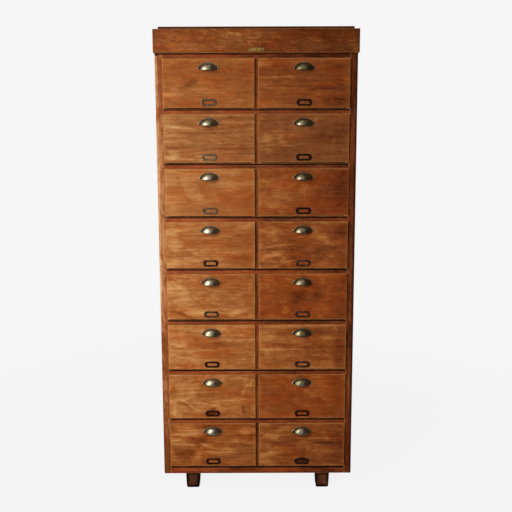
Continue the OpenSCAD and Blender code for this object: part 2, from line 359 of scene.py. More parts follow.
def flecks(sheet, slanted, grain):
    field = sheet.noise(slanted, (18.0, 46.0, 46.0), 2.0, 0.5, 0.8)
    stroke = 1.0 - sheet.rise(sheet.maths("ABSOLUTE", field - 0.5), 0.0, 0.05)
    patch = sheet.noise(grain, (11.0, 24.0, 24.0))
    return stroke * sheet.rise(patch, 0.4, 0.62)


def upperEdge(sheet, width):  # 1 along a board's upper edge, fading below it
    below = sheet.parts(sheet.attribute("half"))[1] - sheet.parts(sheet.attribute("place"))[1]
    return 1.0 - sheet.rise(below, width * 0.6, width)


def woodFinish(name, changes):
    look = {**plainWood, **changes}
    material, sheet = newFinish(name)
    grain = sheet.attribute("grain")
    place = sheet.attribute("place")
    along, across, through = sheet.parts(grain)
    leaning = along + across * look["slant"]
    slanted = sheet.node("ShaderNodeCombineXYZ", {}, {0: leaning, 1: across, 2: through})
    bent = strayed(sheet, grain, grain, (5.0, 11.0, 11.0), 2.0, (0.09, 0.022, 0.022))

    # The figure's noises, with their waves in a metre along, across and through the board
    cloud = sheet.noise(bent, (5.0, 9.0, 9.0), 4.0, 0.52)
    mottle = sheet.noise(bent, (32.0, 34.0, 34.0), 4.0, 0.65)
    band = sheet.noise(bent, (5.0, 80.0, 80.0), 4.0, 0.62)
    threads = peaksAndHollows(sheet, sheet.noise(bent, (4.5, 150.0, 150.0), 2.0, 0.6), 0.04, 0.18)
    strokes = peaksAndHollows(sheet, sheet.noise(slanted, (20.0, 60.0, 60.0), 4.0, 0.65, 0.8), 0.0, 0.16)
    fibre = sheet.noise(grain, (11.0, 330.0, 330.0), 3.0, 0.6)
    pore = sheet.rise(sheet.noise(grain, (45.0, 1300.0, 1300.0), 1.0), 0.62, 0.74)
    bend = sheet.noise(grain, (2.2, 6.0, 6.0))
    ring = across * look["rings"] + through * (look["rings"] * 0.6) + (bend - 0.5) * (look["wave"] * 6.0)
    line = sheet.maths("SINE", ring * (2 * math.pi)) * 0.5 + 0.5
    strength = sheet.rise(sheet.noise(grain, (3.0, 14.0, 14.0)), 0.35, 0.7)

    # How pale the wood is
    value = (0.5 + look["lift"] + sheet.attribute("tone", "Fac") * look["toneSpread"]
             + (cloud - 0.5) * (look["cloud"] * 2) + (mottle - 0.5) * (look["mottle"] * 2)
             + (band - 0.5) * (look["band"] * 2) + threads * look["thread"] + strokes * look["curl"]
             + (line - 0.5) * strength * look["streak"] + (fibre - 0.5) * look["fibre"])
    spot = strayed(sheet, place, grain, (12.0, 18.0, 18.0), 1.5, (0.06, 0.016, 0.016))
    figure = 0.55 + sheet.rise(band, 0.25, 0.7) * 0.6  # the marks show the grain
    value = value + softMarks(sheet, spot, look["marks"]) * figure
    if look["fleck"]:
        value = value + flecks(sheet, slanted, grain) * look["fleck"]
    # a dark line along the upper edge: painted shadow
    if look["paintedShadow"]:
        value = value - upperEdge(sheet, look["paintedShadowWidth"]) * look["paintedShadow"]
    edge = edgeDistance(sheet)
    # darker towards the edges for grime, paler where the amount is below zero for a painted highlight; darker
    # where a piece's mask is set, for dirt and painted shade
    grimeAndPaintedLight = 1.0 - sheet.rise(edge, 0.0, look["edgeTintReach"])
    value = value - grimeAndPaintedLight * look["edgeGrimeAndLight"] - sheet.attribute("crevice", "Fac") * look["dirtAndShade"]

    # Its colour, and the wear along its edges
    warmth = sheet.noise(bent, (7.0, 18.0, 18.0), 3.0, 0.55) + look["yellow"]
    warmth = sheet.rise(warmth + (value - 0.5) * look["paleYellow"], 0.3, 0.7)
    tint = sheet.mix(warmth, look["redder"], look["yellower"])
    colour = sheet.ramp(value, [(0.13, look["dark"]), (0.5, look["mid"]), (0.87, look["pale"])])
    colour = sheet.mix(1.0, colour, tint, "MULTIPLY")
    colour = sheet.mix(pore * 0.35, colour, look["dark"])
    rub = sheet.noise(place, (55.0, 55.0, 55.0), 3.0, 0.65)
    reach = look["edgeWidth"] * (0.35 + rub * 1.5)
    worn = (1.0 - sheet.rise(edge / reach, 0.4, 1.0)) * sheet.rise(rub, 0.22, 0.5) * look["edgeWear"]
    height = fibre * 0.6 + line * strength * 0.25 - pore * 0.6 - worn * 0.5
    closeFinish(sheet, {
        "Base Color": sheet.mix(worn, colour, look["worn"]),
        "Roughness": look["roughness"] + (cloud - 0.5) * 0.18 + worn * 0.2 + (fibre - 0.5) * 0.16,
        "Specular IOR Level": look["shine"],
        "Normal": sheet.bump(height, look["relief"], 0.5 * mm),
    })
    return material


frameLook = {
    "dark": paint(60, 24, 9), "mid": paint(128, 64, 28), "pale": paint(190, 130, 80),
    "rings": 60.0, "wave": 0.8, "cloud": 0.26, "edgeWear": 0.5,
}
panelWood = woodFinish("panelWood", {
    **frameLook, "cloud": 0.2, "mottle": 0.06, "band": 0.2, "streak": 0.14, "thread": 0.09, "curl": 0.03,
    "redder": (1.02, 0.95, 0.88, 1.0), "yellower": (0.98, 1.05, 1.12, 1.0),
})
# its very dark colour and its mask paint the shadow that the left fronts cast on its left half
partitionWood = woodFinish("partitionWood", {
    **frameLook, "dark": paint(44, 18, 8), "dirtAndShade": 0.16, "edgeWear": 0.2,
})
# the rails' very dark colour is what their painted shadow reaches
railLook = {
    **frameLook, "dark": paint(20, 8, 4), "mid": paint(136, 65, 31),
    "paintedShadow": 0.9, "yellow": -0.05, "mottle": 0.08,
}
railChanges = {  # painted shadow along the upper edges, and painted shade over the right half
    # the top rail is darker all over: painted shadow under the crown
    "top": {
        "dark": paint(48, 17, 8), "lift": -0.06, "paintedShadow": 0.5,
        "marks": [(250, 0, 270, 60, 0, -0.08)],
    },
    "upper": {"lift": 0.03, "marks": [(230, 0, 270, 60, 0, -0.17)]},
    "lower": {"lift": 0.05, "paintedShadowWidth": 9 * mm, "marks": [(230, 0, 270, 60, 0, -0.17)]},
    "bottom": {
        "lift": -0.03, "paintedShadowWidth": 9.5 * mm,
        "marks": [(-60, 0, 60, 10, 0, -0.1), (230, 0, 270, 60, 0, -0.08)],
    },
}
stileChanges = {  # the left one has a painted highlight along its outer edge, and paler and darker stretches down its length; the right one is painted darker, with painted shade along its outer edge; both have painted shadow at the top, under the crown
    "left": {
        "pale": paint(198, 148, 98), "lift": 0.06, "cloud": 0.14,
        "marks": [
            (600, -15, 1150, 12, 0, 0.2), (912, 0, 10, 60, 0, -1.0), (150, 0, 420, 90, 0, 0.11),
            (-372, 0, 110, 90, 0, -0.1), (-535, 0, 110, 90, 0, 0.06), (-900, 0, 190, 90, 0, -0.2),
        ],
    },
    "right": {"lift": -0.2, "marks": [(0, 15, 1900, 9, 0, -0.6), (912, 0, 10, 60, 0, -1.0)]},
}
railWoods = {key: woodFinish(key + "RailWood", {**railLook, **railChanges[key]}) for key in railChanges}
stileWoods = {key: woodFinish(key + "StileWood", {**frameLook, **stileChanges[key]}) for key in columns}
crownWood = woodFinish("crownWood", {
    "dark": paint(66, 28, 9), "mid": paint(118, 60, 24), "pale": paint(176, 106, 52),
    "rings": 46.0, "wave": 1.3, "cloud": 0.26, "slant": 1.3, "fleck": 0.21, "curl": 0.05,
    # the mark darkening the right end is painted shade
    "edgeWear": 0.55, "lift": 0.02, "marks": [(360, 0, 400, 80, 0, -0.17)],
})
# dark wood, painted darker still: partly painted shade on its set-back front edge
lidWood = woodFinish("lidWood", {
    "dark": paint(30, 16, 9), "mid": paint(62, 36, 20), "pale": paint(104, 64, 38),
    "edgeWear": 0.2, "roughness": 0.6,
})
# dark, and darker towards the edges: partly painted shade, where the feet stand under the carcass
footWood = woodFinish("footWood", {
    "dark": paint(16, 9, 6), "mid": paint(75, 42, 26), "pale": paint(120, 74, 46), "worn": paint(116, 82, 54),
    "rings": 90.0, "edgeWear": 0.15, "edgeGrimeAndLight": 0.5, "roughness": 0.6,
})
innerWood = woodFinish("innerWood", {
    "dark": paint(104, 64, 34), "mid": paint(162, 112, 66), "pale": paint(204, 156, 100),
    "worn": paint(212, 172, 120), "rings": 50.0, "toneSpread": 0.15, "edgeWear": 0.4, "edgeGrimeAndLight": 0.18,
    "roughness": 0.68, "relief": 0.35,
})
print("wood finishes made")


# Carcass

carcassShape = {
    "ease": 1.2 * mm,
    "stileEase": 5.0 * mm,      # the outer corners are rubbed round
    "railEase": 1.4 * mm,
    "lidEase": 1.5 * mm,
    "crownEase": 1.6 * mm,
    "rebateWide": 10 * mm,      # for the back boards
    "rebateDeep": 8 * mm,
    "notchGap": 0.1 * mm,       # round the rails, in the partition
    "lowerRails": slice(1, 5),  # counted from the bottom rail
    "upperRails": slice(5, -1),
    "seed": 11,
}


def looseParts(node):  # boxes of the separate solids of a node, from the frame
    shape = bmesh.new()
    shape.from_mesh(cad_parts[node].data)
    bmesh.ops.remove_doubles(shape, verts=shape.verts, dist=0.01 * mm)
    waiting = set(shape.verts)
    boxes = []
    while waiting:
        group = [waiting.pop()]
        low, high = group[0].co.copy(), group[0].co.copy()
        while group:
            vert = group.pop()
            low = Vector(map(min, low, vert.co))
            high = Vector(map(max, high, vert.co))
            near = [edge.other_vert(vert) for edge in vert.link_edges]
            fresh = [other for other in near if other in waiting]
            waiting.difference_update(fresh)
            group += fresh
        boxes.append((low, high))
    shape.free()
    return sorted(boxes, key=lambda box: (round(box[0].z, 4), round(box[0].x, 4), round(box[0].y, 4)))


def longest(low, high):
    size = high - low
    return max(range(3), key=lambda axis: size[axis])


def makeBoards(node, finish, ease, draw):  # one board for each solid of a node
    stack = Stack()
    for low, high in looseParts(node):
        stack.addWood(boxShape(low, high, ease), longest(low, high), draw, draw.uniform(-1, 1))
    stack.piece(node + "_boards", finish, cabinet, node)


def makeCarcass():
    draw = random.Random(carcassShape["seed"])
    ease = carcassShape["ease"]
    for side, sign in (("left", -1), ("right", 1)):
        node = side + "_side_panel"
        low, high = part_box(node)
        inner, outer = (low.x, high.x) if sign > 0 else (high.x, low.x)
        step = inner + sign * carcassShape["rebateWide"]
        rebate = high.y - carcassShape["rebateDeep"]
        outline = [(inner, low.y), (outer, low.y), (outer, high.y), (step, high.y), (step, rebate),
                   (inner, rebate)]
        stack = Stack()
        stack.addWood(outlineShape(outline, 2, low.z, high.z, ease), 2, draw, draw.uniform(-0.5, 0.5))
        stack.piece(node + "_board", panelWood, cabinet, node)
    for node in ("carcass_top", "carcass_bottom", "back_boards", "drawer_runners"):
        makeBoards(node, innerWood, ease, draw)
    makeBoards("crown_lid", lidWood, carcassShape["lidEase"], draw)
    makeBoards("crown_box", crownWood, carcassShape["crownEase"], draw)


def stileShape(low, high, sign):  # its outer front corner is rubbed round
    shape = boxShape(low, high, 0.0)
    front, outer = low.y, (high.x if sign > 0 else low.x)
    corner = [edge for edge in shape.edges
              if all(abs(vert.co.y - front) < mm and abs(vert.co.x - outer) < mm for vert in edge.verts)]
    bevelEdges(shape, corner, carcassShape["stileEase"], 4)
    return easeEdges(shape, carcassShape["railEase"])


def makeFaceFrame():
    draw = random.Random(carcassShape["seed"] + 1)
    boards = looseParts("face_frame")
    for low, high in boards:
        if longest(low, high) == 2:
            side, sign = ("right", 1) if low.x > 0 else ("left", -1)
            stack = Stack()
            stack.addWood(stileShape(low, high, sign), 2, draw)
            stack.piece(side + "_stile_board", stileWoods[side], cabinet, "face_frame")
    rails = [box for box in boards if longest(*box) == 0]
    groups = {
        "bottom": rails[:1],
        "lower": rails[carcassShape["lowerRails"]],
        "upper": rails[carcassShape["upperRails"]],
        "top": rails[-1:],
    }
    for name, group in groups.items():
        stack = Stack()
        for low, high in group:
            stack.addWood(boxShape(low, high, carcassShape["railEase"]), 0, draw, draw.uniform(-0.3, 0.2))
        stack.piece(name + "_rail_boards", railWoods[name], cabinet, "face_frame")


def makePartition():
    draw = random.Random(carcassShape["seed"] + 2)
    low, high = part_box("centre_partition")
    rails = [box for box in looseParts("face_frame") if longest(*box) == 0]
    gap = carcassShape["notchGap"]
    behind = rails[0][1].y + gap
    outline = [(high.y, low.z), (high.y, high.z)]
    for railLow, railHigh in reversed(rails):  # from the top rail down, a notch for each
        if railHigh.z + gap < high.z:
            outline += [(low.y, railHigh.z + gap), (behind, railHigh.z + gap)]
        else:
            outline.append((behind, high.z))
        if railLow.z - gap > low.z:
            outline += [(behind, railLow.z - gap), (low.y, railLow.z - gap)]
        else:
            outline.append((behind, low.z))
    middle = (low.x + high.x) / 2

    def shaded(point):  # the side away from the light
        return 1.0 if point.x < middle else 0.1

    stack = Stack()
    stack.addWood(outlineShape(outline, 0, low.x, high.x, carcassShape["ease"]), 2, draw, 0.0, shaded)
    stack.piece("centre_partition_board", partitionWood, cabinet, "centre_partition")


makeCarcass()
makeFaceFrame()
makePartition()
print("carcass made")


# Drawers

plainFront = {
    "dark": paint(82, 34, 11),
    "mid": paint(146, 80, 34),
    "pale": paint(198, 134, 74),
    "rings": 52.0,
    "wave": 1.2,
    "edgeWear": 0.42,
    "edgeWidth": 3.0 * mm,
    "edgeGrimeAndLight": -0.04,     # painted highlight: a little paler along the edges, where they catch the light
}
frontColumnShade = {  # the right column is painted darker and redder, as painted shade where the light falls off to the right
    "left": {},
    "right": {"dark": paint(66, 25, 8), "mid": paint(126, 62, 24), "pale": paint(178, 110, 54)},
}
frontPaintedLight = {  # painted light and shade that all the fronts of a column have: paler to the left, darker to the right, where the light falls off
    "left": [(-165, 0, 45, 150, 0, 0.04), (165, 0, 40, 150, 0, -0.045)],
    "right": [(165, 0, 50, 150, 0, -0.075)],
}
frontLooks = {  # marks in millimetres from the middle: along, up, half length, half height, angle, amount
    "left_drawer_1": {
        "yellow": 0.04, "cloud": 0.17, "mottle": 0.11, "band": 0.08, "lift": -0.06,
        "marks": [
            (-72, 6, 46, 20, 40, -0.16), (80, 45, 100, 45, 0, -0.07), (15, -29, 95, 16, 0, 0.1),
            (-150, -40, 45, 26, 0, 0.1), (60, -70, 130, 10, 0, 0.06),
        ],
    },
    "right_drawer_1": {
        "lift": -0.02, "yellow": 0.09, "band": 0.09, "thread": 0.065, "mottle": 0.13, "cloud": 0.24,
        "marks": [
            (130, 66, 60, 26, 0, -0.06), (-110, -64, 80, 26, 0, -0.045), (-160, 78, 36, 22, 0, 0.13),
            (-100, 23, 110, 8, 0, 0.1), (8, -13, 150, 2.5, 0, -0.16), (-110, -18, 75, 3, 0, 0.11),
            (90, -23, 95, 9, 0, -0.16), (115, -32, 62, 7, -4, 0.12), (130, -72, 60, 28, 0, -0.14),
            (172, 20, 16, 60, 0, 0.08),
        ],
    },
    "left_drawer_2": {
        "mid": paint(150, 88, 42), "pale": paint(208, 152, 92), "yellow": 0.21, "paleYellow": 1.0,
        "band": 0.12, "thread": 0.08, "cloud": 0.13, "mottle": 0.09, "lift": -0.06,
        "marks": [
            (-150, -66, 40, 24, 0, 0.15), (90, -50, 110, 50, 0, -0.08), (-139, 45, 120, 5, -4, 0.11),
            (-40, 23, 170, 3, 0, -0.13), (-125, 9, 90, 4, 0, 0.1), (-112, -18, 110, 6, 0, 0.11),
            (68, 42, 130, 6, 3, -0.1), (122, 33, 75, 3, 0, 0.1), (80, -42, 150, 4, 0, -0.11),
            (112, -18, 110, 4, 0, 0.1), (122, 80, 90, 12, 0, -0.08), (-95, -77, 140, 12, 0, 0.1),
            (-12, 0, 1.2, 110, 0, -0.08), (-60, -52, 130, 3, 1, -0.1), (20, 64, 160, 3, 0, 0.08),
        ],
    },
    "right_drawer_2": {
        "mid": paint(126, 67, 29), "pale": paint(180, 120, 62), "yellow": 0.18, "paleYellow": 0.4,
        "curl": 0.07, "cloud": 0.17, "mottle": 0.17, "lift": -0.07,
        "marks": [
            (-158, -14, 40, 52, 0, 0.1), (-87, -14, 22, 30, 30, 0.14), (-50, 24, 40, 14, 20, 0.08),
            (110, 30, 80, 50, 0, -0.07), (-165, 84, 10, 8, 0, 0.16),
        ],
    },
    "left_drawer_3": {
        "yellow": 0.08, "paleYellow": 0.8, "mottle": 0.09, "cloud": 0.2, "band": 0.05, "thread": 0.02,
        "curl": 0.045, "fibre": 0.09,
        "marks": [
            (-150, 20, 60, 110, 0, 0.06), (150, 0, 50, 32, 0, -0.11), (-80, 60, 50, 26, 0, 0.13),
            (0, -20, 45, 45, 0, 0.09), (-149, 0, 44, 44, 0, -0.05), (-65, 0, 72, 32, -50, 0.11),
            (39, -16, 100, 35, -20, -0.08), (144, -10, 42, 12, 20, 0.09), (172, 6, 18, 10, 50, 0.09),
            (99, 37, 110, 9, 0, 0.07), (60, 78, 110, 10, 0, 0.05),
        ],
    },
    "right_drawer_3": {
        "lift": -0.03, "cloud": 0.28,
        "marks": [
            (-140, 0, 60, 110, 0, 0.055), (-75, -62, 35, 26, 0, 0.11), (130, 0, 120, 120, 0, -0.15),
            (12, 0, 1.4, 46, 0, 0.15), (-127, -58, 22, 14, 20, 0.1), (-120, 0, 120, 120, 0, 0.05),
        ],
    },
    "left_drawer_4": {
        "yellow": 0.08, "paleYellow": 1.0, "lift": -0.01, "mottle": 0.1, "cloud": 0.24, "band": 0.07,
        "marks": [
            (-150, 0, 45, 30, 0, 0.2), (115, -64, 75, 32, 0, -0.19), (-160, 55, 36, 30, 0, 0.11),
            (-40, 30, 112, 5, -3, 0.11), (30, 6, 150, 16, 0, -0.06), (-45, -20, 112, 4, 0, 0.12),
            (-128, -73, 92, 17, 8, 0.11), (98, -73, 92, 14, -4, 0.02), (142, 82, 36, 20, 0, 0.08),
            (-90, 70, 70, 6, 10, 0.08),
        ],
    },
    "right_drawer_4": {
        "yellow": 0.05, "paleYellow": 0.4, "lift": 0.03, "curl": 0.1, "cloud": 0.46,
        "marks": [
            (135, 60, 65, 45, 0, -0.24), (-150, 62, 45, 30, 0, 0.15), (-75, -62, 35, 26, 0, 0.12),
            (-124, -4, 78, 6, 6, 0.16), (-46, 2, 62, 5, 3, 0.13), (-100, -20, 105, 6, 0, -0.11),
            (-129, -42, 62, 13, 18, 0.16), (-40, -48, 60, 12, 25, -0.06), (91, -20, 102, 12, 12, -0.12),
            (135, 7, 42, 15, 0, 0.11), (140, 82, 42, 17, 0, 0.02), (118, -62, 72, 16, 15, 0.11),
            (40, 26, 70, 4, -6, 0.1),
        ],
    },
    "left_drawer_5": {
        "yellow": 0.08, "paleYellow": 0.9, "lift": -0.01, "curl": 0.09, "mottle": 0.11, "cloud": 0.24,
        "marks": [
            (-60, -66, 60, 25, 0, 0.2), (0, -62, 150, 24, 0, 0.06), (-115, 62, 70, 26, 0, 0.07),
            (85, -66, 40, 22, 0, 0.1), (-140, 8, 90, 40, -40, 0.14), (-110, 26, 90, 7, -36, 0.1),
            (-84, 2, 80, 6, -42, -0.08), (-148, -68, 62, 9, -15, -0.13), (-110, -80, 50, 8, -20, -0.1),
            (8, -34, 36, 10, -20, -0.08), (169, 56, 20, 34, 0, 0.13), (152, -88, 46, 8, 0, 0.19),
            (119, -68, 60, 18, 20, 0.1), (95, 28, 18, 3, 30, -0.11), (140, 6, 20, 3, 30, -0.1),
        ],
    },
    "right_drawer_5": {
        "lift": -0.05, "yellow": -0.11, "cloud": 0.28,
        "marks": [
            (0, -6, 62, 40, 0, -0.16), (61, 22, 20, 46, 10, -0.18), (-139, 51, 42, 30, 0, 0.08),
            (-67, -56, 20, 20, 40, 0.18), (89, -62, 32, 18, 20, 0.03),
        ],
    },
    "left_drawer_6": {
        "yellow": 0.04, "paleYellow": 0.5, "lift": 0.02, "band": 0.1, "thread": 0.05, "cloud": 0.18,
        "marks": [
            (0, 66, 180, 24, 0, 0.09), (-75, -62, 35, 24, 0, -0.08), (-140, 84, 60, 8, 0, 0.08),
            (-149, 9, 46, 8, 0, 0.1), (5, 9, 122, 13, 0, -0.14), (-81, -15, 112, 3, 0, 0.16),
            (118, 32, 92, 9, 0, 0.08), (-109, -61, 102, 17, 0, 0.11), (120, -50, 80, 6, 0, 0.06),
        ],
    },
    "right_drawer_6": {
        "yellow": 0.11, "paleYellow": 0.4, "lift": 0.08, "band": 0.1, "thread": 0.075, "cloud": 0.26,
        "marks": [
            (0, 66, 190, 26, 0, -0.19), (165, 0, 30, 110, 0, -0.16), (-150, 0, 40, 26, 0, 0.09),
            (-110, -66, 80, 26, 0, -0.11), (-104, 6, 82, 9, 0, -0.14), (67, 1, 124, 10, 0, -0.14),
            (-138, -11, 64, 4, 0, 0.18), (-46, -12, 90, 3, 0, 0.14), (-150, 36, 40, 12, 0, 0.08),
            (-144, -34, 26, 12, -60, 0.11), (90, 44, 90, 8, 0, 0.06),
        ],
    },
    "left_drawer_7": {
        "yellow": 0.12, "paleYellow": 0.3, "lift": -0.03, "curl": 0.08, "cloud": 0.28,
        "marks": [
            (-115, 30, 60, 40, 0, 0.11), (-75, 62, 35, 26, 0, 0.07), (150, 60, 40, 26, 0, 0.09),
            (-150, -60, 40, 26, 0, 0.07), (-138, -13, 74, 9, 8, 0.2), (-144, -28, 42, 10, -15, -0.16),
            (94, -16, 112, 7, 4, 0.18), (140, 29, 32, 6, 65, 0.18), (170, 53, 28, 9, 60, 0.16),
            (-167, -74, 26, 8, -60, 0.16), (1, -56, 10, 8, 0, -0.34), (135, -62, 32, 6, -65, -0.2),
            (-40, 20, 90, 5, 5, 0.12), (-20, -36, 60, 5, -8, 0.14), (-100, -40, 40, 6, -40, 0.12),
            # this mark paints shade in the label's window
            (0, -74, 26, 12, 0, -1.4),
        ],
    },
    "right_drawer_7": {
        "yellow": -0.04, "cloud": 0.46, "band": 0.09, "curl": 0.05, "thread": 0.022, "lift": -0.015,
        "marks": [
            (-120, 40, 90, 60, 0, 0.06), (120, -30, 90, 60, 0, -0.06), (-69, -56, 10, 22, 20, 0.1),
            (-105, -70, 8, 16, 20, 0.08),
        ],
    },
    "left_drawer_8": {
        "yellow": 0.06, "paleYellow": 0.5, "lift": -0.12, "cloud": 0.26, "mottle": 0.14, "band": 0.14,
        "thread": 0.075,
        "marks": [
            (-115, 62, 75, 34, 0, 0.31), (-140, 8, 50, 30, 0, 0.16), (150, 66, 40, 24, 0, 0.3),
            (-75, -62, 32, 26, 0, 0.1), (-138, -28, 56, 34, -20, -0.21), (-49, 13, 42, 20, 35, -0.17),
            (10, -40, 90, 20, 10, 0.13), (-155, 22, 48, 5, 0, 0.2), (-31, -2, 48, 8, -25, 0.2),
            (-161, -74, 32, 5, -30, 0.18), (146, 13, 52, 8, 0, 0.13), (-70, -50, 40, 18, 40, 0.11),
            (60, 66, 110, 8, 0, 0.08),
        ],
    },
    "right_drawer_8": {
        "yellow": 0.11, "lift": 0.02, "band": 0.17, "thread": 0.075, "cloud": 0.44,
        "marks": [
            (110, -62, 90, 30, 0, -0.15), (-80, 62, 45, 28, 0, 0.19), (68, 28, 110, 6, 0, 0.24),
            (-132, 40, 44, 13, 0, 0.12), (-132, 9, 52, 9, 0, -0.14), (103, 6, 84, 9, 0, -0.14),
            (6, -40, 12, 30, 0, -0.12), (-103, -28, 62, 18, 0, 0.09), (172, 84, 12, 14, 0, -0.17),
            # the last mark paints shade in the label's window
            (120, -50, 60, 8, 0, 0.07), (0, -74, 26, 12, 0, -1.4),
        ],
    },
}
drawerShape = {
    "frontEase": 1.7 * mm,
    "boxEase": 0.8 * mm,
    "bottomEase": 0.4 * mm,
    "glue": 0.1 * mm,       # room round a board in its groove
    "over": 4 * mm,         # how far a cutter passes the front's edge
    "seed": 40,
}
boxWood = woodFinish("drawerBoxWood", {
    "dark": paint(104, 66, 34), "mid": paint(158, 112, 66), "pale": paint(198, 154, 100),
    "worn": paint(212, 178, 128), "rings": 40.0, "edgeWear": 0.45, "edgeGrimeAndLight": 0.22, "roughness": 0.62,
})


def drawerBoards(node):  # front, sides, back and bottom, told apart by their boxes
    boards = looseParts(node)
    front = min(boards, key=lambda box: box[0].y)
    bottom = min(boards, key=lambda box: box[1].z - box[0].z)
    rest = [box for box in boards if box is not front and box is not bottom]
    back = min(rest, key=lambda box: box[1].y - box[0].y)
    return front, [box for box in rest if box is not back], back, bottom


def grown(box, amount):
    step = Vector((amount,) * 3)
    return box[0] - step, box[1] + step


def sideCutter(side, front):  # a drawer side as a cutter that runs out past the front's end and lower edge
    low, high = grown(side, drawerShape["glue"])
    over = drawerShape["over"]
    if low.x + high.x > front[0].x + front[1].x:
        high.x += over
    else:
        low.x -= over
    low.z -= over
    return boxShape(low, high, 0.0)


def makeDrawer(node, body, draw):
    front, sides, back, bottom = drawerBoards(node)
    groove = grown(bottom, drawerShape["glue"])
    column = node.split("_")[0]
    look = {**plainFront, **frontColumnShade[column], **frontLooks[node]}
    look["marks"] = look["marks"] + frontPaintedLight[column]
    cutters = [boxShape(*groove, 0.0)] + [sideCutter(side, front) for side in sides]
    stack = Stack()
    stack.addWood(carve(boxShape(*front, drawerShape["frontEase"], 3), cutters), 0, draw)
    stack.piece(node + "_front", woodFinish(node + "_frontWood", look), body, node)

    stack = Stack()
    for side in sides:
        shape = carve(boxShape(*side, drawerShape["boxEase"]), [boxShape(*groove, 0.0)])
        stack.addWood(shape, 1, draw, draw.uniform(-1, 1))
    stack.addWood(boxShape(*back, drawerShape["boxEase"]), 0, draw, draw.uniform(-1, 1))
    stack.addWood(boxShape(*bottom, drawerShape["bottomEase"]), 0, draw, draw.uniform(-1, 0))
    stack.piece(node + "_box", boxWood, body, node)


# Metal finishes

plainMetal = {
    "bright": paint(198, 187, 159),
    "patina": paint(119, 106, 66),
    # the colour of dirt and of painted shade
    "grimeAndPaintedLight": paint(34, 24, 12),
    "roughness": 0.33,
    "cover": 0.5,           # how much of it the patina takes
    "toneSpread": 0.12,
}


def metalFinish(name, changes):
    look = {**plainMetal, **changes}
    material, sheet = newFinish(name)
    grain = sheet.attribute("grain")
    tone = sheet.attribute("tone", "Fac")
    cloud = sheet.noise(grain, (70.0, 70.0, 70.0), 4.0, 0.6)
    spot = sheet.noise(grain, (420.0, 420.0, 420.0), 3.0, 0.6)
    scratch = sheet.noise(grain, (160.0, 160.0, 2600.0))
    cover = cloud + (spot - 0.5) * 0.35 + tone * look["toneSpread"] + look["cover"] * 0.5
    dull = sheet.rise(cover, 0.55, 1.0)
    # dirt, and painted shade where a piece's mask paints it
    dirtAndShade = sheet.rise(sheet.attribute("crevice", "Fac") + (spot - 0.5) * 0.6, 0.25, 0.9)
    colour = sheet.mix(dull, look["bright"], look["patina"])
    closeFinish(sheet, {
        "Base Color": sheet.mix(dirtAndShade, colour, look["grimeAndPaintedLight"]),
        "Roughness": look["roughness"] + dull * 0.14 + dirtAndShade * 0.3 + (scratch - 0.5) * 0.14,
        "Metallic": 1.0 - dirtAndShade * 0.5,
        "Normal": sheet.bump(spot * 0.5 + scratch * 0.3 + cloud * 0.6, 0.05, 0.2 * mm),
    })
    return material


pullBrass = metalFinish("pullBrass", {})
labelBronze = metalFinish("labelBronze", {
    "bright": paint(146, 122, 92), "patina": paint(54, 34, 26), "grimeAndPaintedLight": paint(26, 16, 12),
    "cover": 0.6, "toneSpread": 0.35, "roughness": 0.4,
})
plateBrass = metalFinish("plateBrass", {
    "bright": paint(222, 178, 96), "patina": paint(140, 104, 50), "grimeAndPaintedLight": paint(54, 38, 18),
    "roughness": 0.42,
})


# Fittings

pullShape = {
    "half": 36.5 * mm,
    "radius": 31 * mm,
    "sink": 6.5 * mm,           # the dome's axis lies behind the face of the front
    "wall": 1.6 * mm,
    "tilt": math.radians(6),    # the lip dips towards its middle
    "squeeze": 0.88,            # the dome is a little flatter than round, to the front and upwards
    "flatten": 0.86,
    "lipRound": 0.5 * mm,
    "topAbove": 31 * mm,        # the solid's top above the line of the lip
    "flangeHalf": 45.5 * mm,
    "flangeTop": 30.5 * mm,
    "earUp": 7 * mm,            # the flange's tips stand above the lip's line
    "flangeThick": 1.2 * mm,
    "bead": 0.5 * mm,
    "stations": 44,
    "turns": 18,
    "screwAcross": 40.2 * mm,
    "screwUp": 9.0 * mm,
    "headRadius": 3.0 * mm,
    "headHigh": 1.7 * mm,
    "headSlot": 0.7 * mm,
    "seamDirtAndShade": 3.4 * mm,       # how far dirt and painted shade reach out from the flange
    "lipShadow": 4 * mm,          # how far painted shadow reaches up from the lip
    "rimClean": 3 * mm,         # the flange is cleaner this far in from its rim
    "tones": {"left": -0.4, "right": 0.5},  # the right column is duller: painted shade, where the light falls off to the right
}


def arcRadius(half, rise):
    return (half * half + rise * rise) / (2 * rise)


def domeRings(half, radius):  # rings of points from end to end, each from the lip up to the flange
    sink, tilt = pullShape["sink"], pullShape["tilt"]
    stations, steps = pullShape["stations"], pullShape["turns"]

    def domePoint(x, r, turn):
        up = r * math.sin(turn)
        out = r * math.cos(turn) - sink
        return Vector((x, -out * pullShape["squeeze"], up * pullShape["flatten"] if up > 0 else up))

    arc = arcRadius(half, radius)
    end = math.sqrt(arc * arc - (sink + arc - radius) ** 2)
    rings = []
    for i in range(stations + 1):
        x = end * math.sin((i / stations - 0.5) * math.pi)
        r = max(math.sqrt(arc * arc - x * x) - (arc - radius), sink)
        first = math.asin(sink * math.sin(tilt) / r) - tilt
        last = math.acos(sink / r)
        rings.append([domePoint(x, r, first + (last - first) * j / steps) for j in range(steps + 1)])
    return rings


def skin(shape, rings):  # faces between closed rings of points
    made = [[shape.verts.new(point) for point in ring] for ring in rings]
    count = len(rings[0])
    for a, b in zip(made, made[1:]):
        for j in range(count):
            k = (j + 1) % count
            shape.faces.new((a[j], a[k], b[k], b[j]))
    return made


def cappedSkin(rings):  # the same, closed at both ends
    shape = bmesh.new()
    made = skin(shape, rings)
    shape.faces.new(made[0])
    shape.faces.new(made[-1][::-1])
    bmesh.ops.recalc_face_normals(shape, faces=shape.faces)
    return shape


